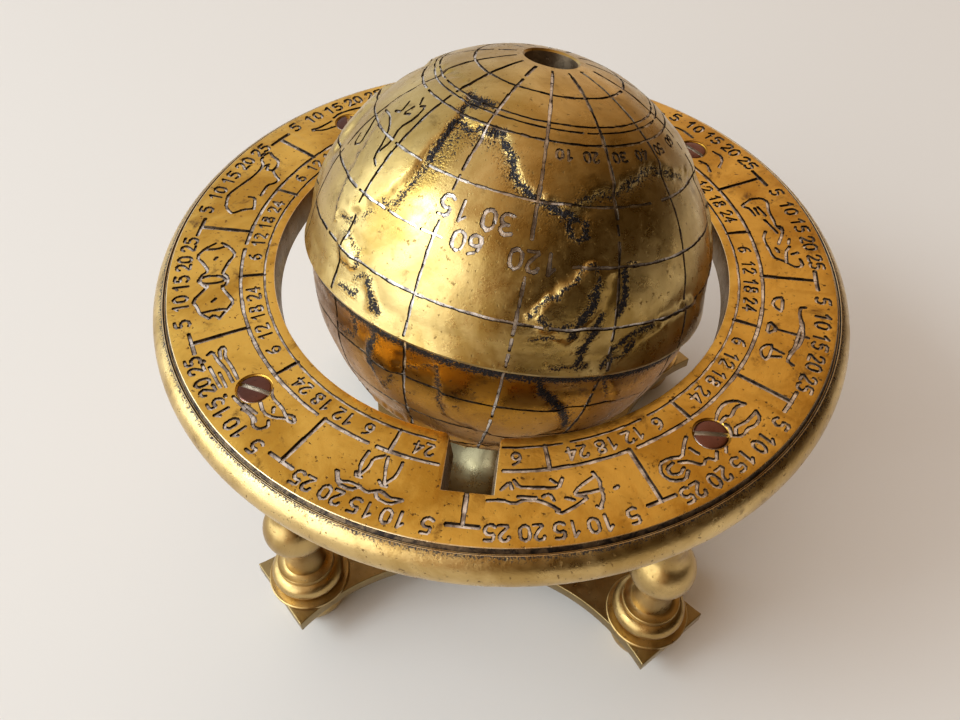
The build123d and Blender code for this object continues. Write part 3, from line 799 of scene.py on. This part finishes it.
for corner, turn in leg_turns.items():
    place = Matrix.Rotation(radians(turn), 4, "Z") @ Matrix.Translation((leg_circle, 0, plate_top))
    leg = piece("baluster_" + corner, turned(leg_outline, 72, False), (stand_brass,), place)
    polish(leg, 35)
    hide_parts("leg_" + corner)
    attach(leg, "stand")
    for holder in frame["nodes"]["leg_stud_" + corner].material_slots:
        holder.material = worn_steel


# Base plate: one flat brass casting with an arm under each leg and a round bite
# between each two arms, its upper edge eased. It stands on four turned feet.
plate_brass = old_metal(
    "plate_brass", (0.35, 0.255, 0.115), (0.26, 0.18, 0.072), (0.09, 0.055, 0.025),
    0.34, pits=0.35, spots=0.6,
)
plate_low, plate_high = (corner_point[2] / mm for corner_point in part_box("base_plate"))
arm_reach = 80.2
bite_middle, bite = 97.3, 57.9
bm = bmesh.new()
bmesh.ops.create_cube(bm, size=1)
bmesh.ops.scale(bm, vec=(2 * arm_reach, 2 * arm_reach, plate_high - plate_low), verts=bm.verts)
lift_plate = Matrix.Translation((0, 0, (plate_low + plate_high) / 2)) @ Matrix.Rotation(pi / 4, 4, "Z")
plate = piece("base_casting", bm, (plate_brass,), lift_plate)
tools = []
for quarter in range(4):
    bm = bmesh.new()
    bmesh.ops.create_cone(bm, cap_ends=True, segments=180, radius1=bite, radius2=bite, depth=20)
    place = Matrix.Rotation(quarter * pi / 2, 4, "Z") @ Matrix.Translation((bite_middle, 0, plate_high))
    tools.append(piece("bite", bm, (), place))
cut_out(plate, *tools)
soften(plate, 0.9, 4, 50)
polish(plate, 40)
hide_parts("base_plate")
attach(plate, "stand")

foot_outline = [
    (0, 0), (7.2, 0), (7.5, 0.2), (8.6, 1.2), (9.3, 2.5), (9.7, 3.9), (9.78, 5.1),
    (9.6, 6.5), (9.15, 7.9), (8.6, 9.0), (0, 9.0),
]
for corner, turn in leg_turns.items():
    place = Matrix.Rotation(radians(turn), 4, "Z") @ Matrix.Translation((leg_circle, 0, 0))
    foot = piece("turned_foot_" + corner, turned(foot_outline, 64, False), (stand_brass,), place)
    polish(foot, 35)
    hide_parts("foot_" + corner)
    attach(foot, "stand")


# Pedestal and polar arm: a turned brass column in the middle of the plate, held from
# below by a long screw, with a curved arm that carries the axis pin of the globe.
pedestal_low, pedestal_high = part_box("pedestal")
column_mid = (pedestal_low + pedestal_high) / 2 / mm
column_long = (pedestal_high[2] - pedestal_low[2]) / mm
column_outline = [(0, 0), (22.8, 0), (23, 0.2), (23, 1.6), (22.8, 1.8)]
column_outline += arc(21.9, 19.2, 17.4, -90, -170.2, 24)
column_outline += arc(4.6, 18.96, 2.8, -90, 90, 14)
column_outline += [(7.0, column_long - 3.0), (7.0, column_long - 0.3)]
column_outline += [(6.7, column_long), (0, column_long)]
place = Matrix.Translation((column_mid[0], column_mid[1], pedestal_low[2] / mm))
# Painted shade: the column stands in the dim place under the globe and ring, and its brass is painted
# dark for that shade.
column_painted_shade = old_metal(
    "column_painted_shade", (0.17, 0.140, 0.078), (0.13, 0.105, 0.052), (0.06, 0.045, 0.022),
    0.30, pits=0.2, spots=0.2,
)
column = piece("turned_column", turned(column_outline, 72, False), (column_painted_shade,), place)
polish(column, 35)
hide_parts("pedestal")
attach(column, "stand")
for node, finish in (
    ("polar_arm", plate_brass), ("axis_pin", worn_steel), ("pin_nut", stand_brass),
    ("thrust_washer", stand_brass), ("pole_bush", stand_brass),
    ("tie_screw", worn_steel), ("tie_washer", worn_steel),
):
    for holder in frame["nodes"][node].material_slots:
        holder.material = finish


# Globe: two cast brass shells that part at the equator, the upper one a little larger.
# Land stands proud of the sea, the shores are chased dark, and meridians, circles and
# degree numbers are cut in by hand. A round hole is left at each pole.
spin = next(joint for joint in frame["joints"] if joint["name"] == "globe_spin")
globe_mid = Vector(spin["pos_m"]) / mm
globe_turn, globe_tilt = radians(61.5), radians(17)
globe_place = (
    Matrix.Translation(globe_mid)
    @ Matrix.Rotation(globe_turn, 4, "Z")
    @ Matrix.Rotation(globe_tilt, 4, "Y")
)
globe_r, bowl_r, wall = 50.0, 48.9, 2.5
relief = 0.75
inset = 0.12
noise.seed_set(5)
coast_out, coast_wide = 1.2, 2.9
dent_deep, dent_wide = 0.18, 3.2
seam_soot, soot_wide = 91.4, 1.5
rim_flat, rim_wide, rim_inset = 0.6, 5.5, 0.05

# Land, as loops of (longitude, distance from the upper pole) in degrees; the first lies
# round the upper pole
lands = [
    [(165, 27), (173, 34), (186, 36), (194, 35), (200, 40), (206, 46), (222, 51), (230, 46),
     (245, 43),
     (256, 40), (270, 44), (292, 50), (318, 46), (342, 36), (8, 32), (40, 36), (72, 31),
     (100, 36), (125, 30)],
    [(138, 26), (165, 25), (173, 34), (172, 50), (168, 61), (158, 69), (152, 73), (147, 60),
     (143, 50), (136, 44)],
    [(214, 75), (221, 67), (229, 61), (236, 63), (232, 72), (225, 81), (219, 78)],
    [(236, 87), (241, 81), (250, 78), (266, 75), (276, 82), (272, 96), (258, 104), (246, 103),
     (240, 94)],
    [(176, 90), (185, 90), (184, 103), (178, 113), (173, 104)],
    [(193, 90), (221, 90), (225, 99), (230, 102), (235, 113), (218, 120), (199, 113), (195, 97)],
    [(92, 54), (110, 46), (122, 50), (128, 62), (120, 88), (108, 108), (98, 98), (88, 74)],
    [(300, 62), (318, 56), (336, 60), (346, 74), (332, 90), (318, 112), (308, 124), (302, 100),
     (292, 78)],
    [(18, 50), (46, 44), (70, 50), (80, 64), (66, 80), (58, 104), (44, 120), (34, 98), (14, 80)],
    [(150, 130), (190, 126), (230, 134), (260, 130), (262, 150), (200, 156), (150, 150)],
    [(171, 79), (174, 81), (177.5, 87), (174, 86)],
    [(157, 75), (162, 74), (167, 76), (166, 80), (160, 80)],
]

# Shores chased rough and dark, as (how dark, half width in millimetres, line)
shores = [
    (1.1, 0.9, [(166, 27.7), (173, 28.4), (181, 28.2)]),
    (1.0, 0.8, [(169, 29.6), (172, 30.4), (176, 29.6)]),
    (1.0, 0.6, [(170.5, 31.5), (172, 34)]),
    (1.1, 0.6, [(173.5, 35), (180, 36), (186, 35.2), (194, 34.5)]),
    (0.5, 1.9, [(175, 37), (182, 38), (189, 36.5)]),
    (1.1, 0.6, [(172, 36), (173, 41), (173.5, 47)]),
    (0.5, 2.0, [(175, 38), (177, 42), (177, 47)]),
    (0.7, 0.9, [(174, 48), (173, 54), (171, 60)]),
    (0.7, 0.6, [(168, 61), (171, 62)]),
    (0.7, 0.6, [(165, 65), (163, 67)]),
    (0.8, 0.6, [(161, 69), (156, 70.6)]),
    (1.1, 0.6, [(195, 36.5), (200, 38.5), (202, 43), (205, 46), (211, 48), (217, 49.5),
                (224, 51.5)]),
    (0.5, 1.5, [(196, 38), (201, 42), (206, 47)]),
    (0.45, 1.4, [(214, 50), (222, 52)]),
    (1.0, 0.5, [(222.5, 52), (222, 55), (224.5, 56.5), (227, 55), (226.5, 52)]),
    (0.8, 0.5, [(222, 48.4), (227, 46.4), (236, 45.8), (242, 44), (250, 41.2), (256, 40),
                (264, 42), (276, 46)]),
    (0.45, 1.4, [(226, 46.4), (240, 45), (256, 41), (268, 43.5)]),
    (0.9, 0.4, [(214, 75), (217, 71.5), (222, 68), (227, 62.5)]),
    (1.1, 0.8, [(226, 79), (227, 75), (229.5, 71), (231, 66)]),
    (0.9, 0.4, [(228, 62), (230, 62), (231, 66)]),
    (1.1, 0.7, [(238, 73.5), (239.5, 68.5), (239, 63)]),
    (0.8, 0.35, [(239, 62.5), (243, 61.5)]),
    (1.1, 0.7, [(229, 86.5), (229.5, 82.5), (231, 79), (233, 74.5)]),
    (0.9, 0.5, [(222, 87), (231, 87)]),
    (0.8, 0.4, [(216, 80.8), (219, 79.6), (222, 79.4)]),
    (0.8, 0.6, [(217, 75), (221, 77), (225, 76)]),
    (1.0, 0.5, [(236, 87), (238.5, 82.5), (243, 79.5), (250, 78)]),
    (0.9, 0.4, [(236.5, 87), (241, 84.5), (243, 81)]),
    (0.8, 0.5, [(158, 73.5), (162, 74), (167, 75), (166.5, 79), (162, 81), (158, 78)]),
    (0.9, 0.6, [(163, 86), (169, 85)]),
    (0.8, 0.5, [(167.5, 82), (170.5, 79)]),
    (1.0, 0.8, [(172, 79.5), (174, 83), (177, 86.5)]),
    (0.8, 0.5, [(146, 54), (148, 60), (150, 67), (152.5, 73)]),
    (0.7, 0.8, [(149.5, 63), (151, 68)]),
    (1.1, 0.9, [(177, 90.5), (176, 96), (174.5, 101), (175.5, 107), (178, 112)]),
    (0.8, 0.5, [(178, 112), (181, 108), (182.5, 104)]),
    (0.9, 0.7, [(168, 90.5), (169, 95), (168, 99), (163, 101)]),
    (1.1, 0.8, [(221, 91), (222.5, 96), (228, 101), (232, 106), (235, 113)]),
    (0.5, 1.6, [(230, 102), (233, 109)]),
    (0.7, 0.4, [(185, 100.5), (190, 97), (194, 95.5)]),
    (0.8, 0.5, [(195, 94), (196.5, 102), (196.5, 109), (199, 112)]),
    (0.7, 0.4, [(239, 93), (242.5, 100)]),
]


def to_sphere(outline):
    """Directions from the globe's centre to points of (longitude, distance from the upper pole)."""
    lon, polar = numpy.radians(numpy.array(outline, dtype=float)).T
    out = numpy.sin(polar)
    return numpy.stack((numpy.cos(lon) * out, numpy.sin(lon) * out, numpy.cos(polar)), 1)


def to_line(ways, line, closed, r):
    """Distance in millimetres over the globe from directions to a drawn line."""
    ends = to_sphere(line)
    nearest = numpy.full(len(ways), -1.0)
    across = numpy.full(len(ways), 9.0)
    for a, b in zip(ends if closed else ends[:-1], numpy.roll(ends, -1, 0) if closed else ends[1:]):
        pole = numpy.cross(a, b)
        pole /= numpy.linalg.norm(pole)
        beside = (ways @ numpy.cross(pole, a) > 0) & (ways @ numpy.cross(b, pole) > 0)
        across = numpy.where(beside, numpy.minimum(across, abs(ways @ pole)), across)
        nearest = numpy.maximum(nearest, numpy.maximum(ways @ a, ways @ b))
    to_ends = numpy.arccos(numpy.clip(nearest, -1, 1))
    return numpy.minimum(to_ends, numpy.arcsin(numpy.clip(across, 0, 1))) * r


def inside(ways, outline):
    """Whether directions lie inside a closed line, as seen from the globe's centre."""
    ends = to_sphere(outline)
    middle = ends.mean(0) / numpy.linalg.norm(ends.mean(0))
    right = numpy.cross(middle, (0.31, 0.83, 0.47))
    up = numpy.cross(middle, right)
    ahead = ways @ middle
    facing = ahead > 0.05
    depth = numpy.where(facing, ahead, 1)
    x, y = ways @ right / depth, ways @ up / depth
    ends = numpy.stack((ends @ right / (ends @ middle), ends @ up / (ends @ middle)), 1)
    within = numpy.zeros(len(ways), dtype=bool)
    for (a, b), (c, d) in zip(ends, numpy.roll(ends, -1, 0)):
        within ^= ((b > y) != (d > y)) & (x < (c - a) * (y - b) / (d - b) + a)
    return within & facing


def cast_relief(bm, r):
    """Press land, shores and hand-worked unevenness into the outer face of a shell."""
    shape = bm.verts.layers.float_vector.new("shape")
    outer = [v for v in bm.verts if abs(v.co.length - r) < 0.02]
    spots = numpy.array([v.co for v in outer])
    polar = numpy.degrees(numpy.arccos(spots[:, 2] / r))
    shake = numpy.array([
        noise.noise_vector(v.co * 0.5) + noise.noise_vector(v.co * 1.2) * 0.4 for v in outer
    ])
    uneven = numpy.array([noise.noise(v.co * 0.16) for v in outer])
    fine = numpy.array([noise.noise(v.co * 1.6) for v in outer])
    ways = spots + shake * 0.9
    ways /= numpy.linalg.norm(ways, axis=1)[:, None]
    land = numpy.zeros(len(outer))
    coast_near = numpy.full(len(outer), 99.0)
    for outline in lands:
        reach = to_line(ways, outline, True, r)
        coast_near = numpy.minimum(coast_near, reach)
        signed = numpy.where(inside(ways, outline), reach, -reach)
        inland = numpy.clip((signed + coast_out) / coast_wide, 0, 1)
        land = numpy.maximum(land, inland * inland * (3 - 2 * inland))
    dark = numpy.zeros(len(outer))
    for amount, half, line in shores:
        reach = to_line(ways, line, False, r)
        dark = numpy.maximum(dark, amount * numpy.exp(-(reach / half / 1.5) ** 2))
    if r == bowl_r:
        dark = numpy.maximum(dark, 1.1 * numpy.exp(-((polar - seam_soot) / soot_wide) ** 2))
    dished = dent_deep * numpy.exp(-(coast_near / dent_wide) ** 2)
    depth = inset + (relief + dished) * (1 - land) + uneven * 0.16 + dark * (0.16 + 0.14 * fine)
    rim = numpy.clip((abs(90.0 - polar) - rim_flat) / rim_wide, 0, 1) ** 0.8
    depth = rim_inset + (numpy.maximum(depth, 0.02) - rim_inset) * rim
    if r == globe_r:
        depth += 0.4 * numpy.clip(1 - (90 - polar) / 0.9, 0, 1) ** 2
    for vert, sink, black, ground in zip(outer, depth, dark, land):
        vert.co *= (r - sink) / r
        vert[shape] = (0.95 * black, ground, 0)
    coast = bm.loops.layers.uv.new("coast")
    for face in bm.faces:
        for corner in face.loops:
            corner[coast].uv = corner.vert[shape][:2]
    bm.verts.layers.float_vector.remove(shape)


first_meridian, meridian_step = 211.6, 25.714


def on_globe(lon, polar, r):
    """A place on a ball, by longitude and distance from the upper pole in degrees."""
    lon, polar = radians(lon), radians(polar)
    return Vector((cos(lon) * sin(polar), sin(lon) * sin(polar), cos(polar))) * r


def degrees_of(x, r, polar):
    """Degrees of longitude that a length takes up, at a distance from the upper pole."""
    return x / (r * sin(radians(polar))) * 180 / pi


def globe_cuts(ground, r, low, high):
    """Meridians, circles and numbers between two distances from the upper pole."""
    cuts = []

    def line(points, width, depth, reach=1.6, wobble=0.06):
        path = wandering([on_globe(lon, polar, r) for lon, polar in points], reach, wobble)
        path = [ground.ray_cast(spot * 1.05, -spot)[0] for spot in path]
        for a, b in zip(path, path[1:]):
            if graver.random() > 0.045:
                wide = width * graver.uniform(0.7, 1.2)
                cuts.append((a, b, wide, depth * graver.uniform(0.75, 1.15)))

    # Fourteen meridians; two of them stop short of a number and go on behind it
    broken = {0: ((low, 57), (66, high)), 13: ((low, 51), (59, high))}
    for meridian in range(14):
        lon = first_meridian + meridian_step * meridian
        for start, end in broken.get(meridian, ((low, high),)):
            start, end = max(start, low), min(end, high)
            if start < end:
                line([(lon, start + (end - start) * i / 8) for i in range(9)], 0.58, 0.42)
    for polar, width in (
        (19.5, 0.55), (28.5, 0.42), (30.2, 0.42), (33.6, 0.5), (48.3, 0.5), (62.3, 0.6), (77.1, 0.62),
        (102.8, 0.55), (117.6, 0.6), (132, 0.55), (147, 0.55),
    ):
        if low < polar < high:
            start, end = (224, 549) if 60 < polar < 65 else (0, 361)
            line([(lon, polar) for lon in range(start, end, 6)], width * 0.9, 0.42)
    for text, size, lon, polar in (
        ("15", 4.2, 188.5, 55), ("30", 4.2, 201.5, 55), ("60", 4.1, 195, 61.6), ("120", 4.1, 213, 62.2),
        ("10", 2.2, 219, 36.6), ("20", 2.2, 230, 36.6), ("30", 2.2, 243, 36.6), ("40", 2.2, 255, 36.6),
        ("50", 2.2, 268, 36.6), ("60", 2.2, 281, 36.6), ("90", 3.2, 330, 70), ("30", 3.2, 60, 58),
        ("60", 3.2, 110, 70), ("45", 3.4, 20, 112), ("15", 3.4, 320, 112),
    ):
        if low < polar < high:
            for stroke in numeral(text, size):
                line(
                    [(lon - degrees_of(x, r, polar), polar + y / r * 180 / pi) for x, y in stroke],
                    0.2 * size if size < 3 else 0.64, 0.42, 2.0, 0.03,
                )
    for drawn in (
        [(139, 45), (145, 44.5), (151, 46.5), (154, 50), (155, 54), (158, 55.5)],
        [(150, 36), (153, 38), (156, 37), (157, 41), (155, 45), (157, 49), (155, 53)],
        [(146, 39), (148, 42), (145, 43)], [(151, 39), (150, 42), (153, 41)],
        [(136, 48), (140, 52), (142, 55), (139, 57), (137, 54)],
        [(86, 30), (92, 34), (98, 31)], [(300, 48), (306, 44), (312, 47)],
    ):
        if low < drawn[0][1] < high:
            line(curved(drawn), 0.45, 0.38)
    return cuts


def globe_metal(name, bright, dull, dark, rough, spots=0.6):
    """Old cast brass, black in the pits along the chased shores."""
    made = old_metal(name, bright, dull, dark, rough, pits=0.28, spots=spots)
    nodes, links = made.node_tree.nodes, made.node_tree.links
    carried = nodes.new("ShaderNodeUVMap")
    carried.uv_map = "coast"
    parts = nodes.new("ShaderNodeSeparateXYZ")
    links.new(carried.outputs["UV"], parts.inputs[0])
    blacken(made, parts.outputs[0], 2300, (0.032, 0.029, 0.031), -0.06, 0.16)
    shader = nodes["Principled BSDF"]
    stipple = nodes.new("ShaderNodeTexNoise")
    stipple.inputs["Scale"].default_value = 2300
    stipple.inputs["Detail"].default_value = 2
    links.new(nodes.new("ShaderNodeTexCoord").outputs["Object"], stipple.inputs["Vector"])
    height = nodes.new("ShaderNodeMath")
    height.operation = "MULTIPLY"
    links.new(stipple.outputs["Fac"], height.inputs[0])
    links.new(parts.outputs[0], height.inputs[1])
    chased = nodes.new("ShaderNodeBump")
    chased.inputs["Strength"].default_value = 0.8
    chased.inputs["Distance"].default_value = 0.0005
    links.new(height.outputs[0], chased.inputs["Height"])
    links.new(shader.inputs["Normal"].links[0].from_socket, chased.inputs["Normal"])
    links.new(chased.outputs["Normal"], shader.inputs["Normal"])
    return made


globe_brass = globe_metal(
    "globe_brass", (0.59, 0.43, 0.17), (0.37, 0.235, 0.060), (0.14, 0.08, 0.022), 0.31,
)
# The lower shell is darker and more orange than the upper: partly its own patina, partly painted shade
# and a painted reflection of a warm floor under it.
bowl_brass = globe_metal(
    "bowl_brass", (0.42, 0.195, 0.016), (0.26, 0.11, 0.009), (0.08, 0.036, 0.008), 0.30, 0.9,
)


def shell_arc(r, start, end, steps):
    """Points of a shell's outline, by their distance from the upper pole."""
    angles = [radians(start + (end - start) * i / steps) for i in range(steps + 1)]
    return [(r * sin(a), r * cos(a)) for a in angles]


scored_floor = old_metal(
    "scored_floor", (0.80, 0.73, 0.66), (0.24, 0.195, 0.165), (0.03, 0.025, 0.025),
    0.36, spots=0.8, patch=300,
)
bore_brass = old_metal(
    "bore_brass", (0.50, 0.38, 0.25), (0.34, 0.24, 0.15), (0.08, 0.055, 0.04),
    0.40, pits=0.4, spots=0.6,
)
hole, hole_top = 6.0, 49.08
boss, boss_low = 8.5, 42
upper_outline = shell_arc(globe_r, 90, 7.47, 112)
upper_outline += [(hole, hole_top), (hole, boss_low), (boss, boss_low)]
upper_outline += shell_arc(globe_r - wall, 10.3, 90, 14)
bm = turned(upper_outline, 480, wedges=20)
cast_relief(bm, globe_r)
cuts = globe_cuts(BVHTree.FromBMesh(bm), globe_r, 9.5, 88.2)
bore_at = 3
for face in bm.faces:
    middle = face.calc_center_median()
    if hypot(middle.x, middle.y) < hole + 0.1:
        face.material_index = bore_at
lid = piece("globe_upper_half", bm, (globe_brass, cut_wall, scored_floor, bore_brass))
engrave(lid, cuts, lambda spot: spot.normalized(), 0.4)
lid.data.transform(Matrix.Scale(mm, 4) @ globe_place @ Matrix.Scale(1 / mm, 4))
polish(lid, 38)
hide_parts("globe_upper_shell")
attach(lid, "globe_lid")

lip_out, lip_in, lip_up = 47.18, 45.58, 4.0
spot_face, bowl_boss_r, bowl_boss_top = 48.1, 9.0, 36.9
bowl_outline = shell_arc(bowl_r, 90, 180 - 10.37, 100)
bowl_outline += [(hole, -spot_face), (hole, -bowl_boss_top), (bowl_boss_r, -bowl_boss_top)]
bowl_outline += shell_arc(bowl_r - wall, 180 - 11.2, 101, 14)
bowl_outline += [(lip_in, lip_up), (lip_out, lip_up), (lip_out, 0)]
bm = turned(bowl_outline, 440, wedges=20)
cast_relief(bm, bowl_r)
cuts = globe_cuts(BVHTree.FromBMesh(bm), bowl_r, 91.0, 163)
bowl = piece("globe_lower_half", bm, (bowl_brass, cut_wall, scored_floor))
engrave(bowl, cuts, lambda spot: spot.normalized(), 0.4)
bowl.data.transform(Matrix.Scale(mm, 4) @ globe_place @ Matrix.Scale(1 / mm, 4))
polish(bowl, 38)
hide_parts("globe_lower_shell")
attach(bowl, "globe_bowl")


# Floor: a plain pale sheet of matt board that the stand rests on. It lies flat, a hair
# under the feet, and is not part of the globe.
floor_paint = bpy.data.materials.new("floor_paint")
floor_paint.use_nodes = True
floor_shader = floor_paint.node_tree.nodes["Principled BSDF"]
floor_shader.inputs["Base Color"].default_value = (0.78, 0.76, 0.73, 1)
floor_shader.inputs["Roughness"].default_value = 0.9
floor_shader.inputs["Specular IOR Level"].default_value = 0.2
bm = bmesh.new()
bmesh.ops.create_grid(bm, x_segments=1, y_segments=1, size=3000)
floor = piece("floor", bm, (floor_paint,), Matrix.Translation((0, 0, -0.05)))


# Light: one broad soft lamp from the left, as from a window, in a room that is bright on
# the left and dim on the right.
def lamp(name, turn, rise, reach, wide, high, power):
    """A soft lamp; turn is clockwise from the back, as seen from above."""
    turn, rise = radians(turn), radians(rise)
    toward = Vector((sin(turn) * cos(rise), cos(turn) * cos(rise), sin(rise)))
    light = bpy.data.lights.new(name, "AREA")
    light.shape = "RECTANGLE"
    light.size, light.size_y = wide, high
    light.energy = power
    light.color = (0.80, 0.92, 1.0)
    made = bpy.data.objects.new(name, light)
    made.location = toward * reach + Vector((0, 0, 0.1))
    made.rotation_euler = toward.to_track_quat("Z", "Y").to_euler()
    bpy.context.collection.objects.link(made)


lamp("window", -118, 22, 4.0, 6.4, 3.6, 188)
lamp("window_core", -112, 40, 1.2, 0.45, 0.45, 4.8)
room = bpy.data.worlds.new("room")
bpy.context.scene.world = room
room.use_nodes = True
nodes, links = room.node_tree.nodes, room.node_tree.links
across = nodes.new("ShaderNodeVectorMath")
across.operation = "DOT_PRODUCT"
across.inputs[1].default_value = (0.94, -0.34, 0)
links.new(nodes.new("ShaderNodeTexCoord").outputs["Generated"], across.inputs[0])
for slot_name, low, high, to_low, to_high in (
    ("Strength", -0.2, 0.65, 0.98, 0.05),
    ("Color", -0.75, 0.4, 1, 0),
):
    level = nodes.new("ShaderNodeMapRange")
    level.interpolation_type = "SMOOTHSTEP" if slot_name == "Strength" else "LINEAR"
    ends = (("From Min", low), ("From Max", high), ("To Min", to_low), ("To Max", to_high))
    for socket, number in ends:
        level.inputs[socket].default_value = number
    links.new(across.outputs["Value"], level.inputs["Value"])
    if slot_name == "Strength":
        links.new(level.outputs["Result"], nodes["Background"].inputs["Strength"])
warmth = nodes.new("ShaderNodeMix")
warmth.data_type = "RGBA"
links.new(level.outputs["Result"], warmth.inputs["Factor"])
warmth.inputs[6].default_value = (1, 0.56, 0.19, 1)
warmth.inputs[7].default_value = (0.91, 0.95, 1, 1)
links.new(warmth.outputs[2], nodes["Background"].inputs["Color"])

bpy.context.scene.view_settings.view_transform = "Standard"
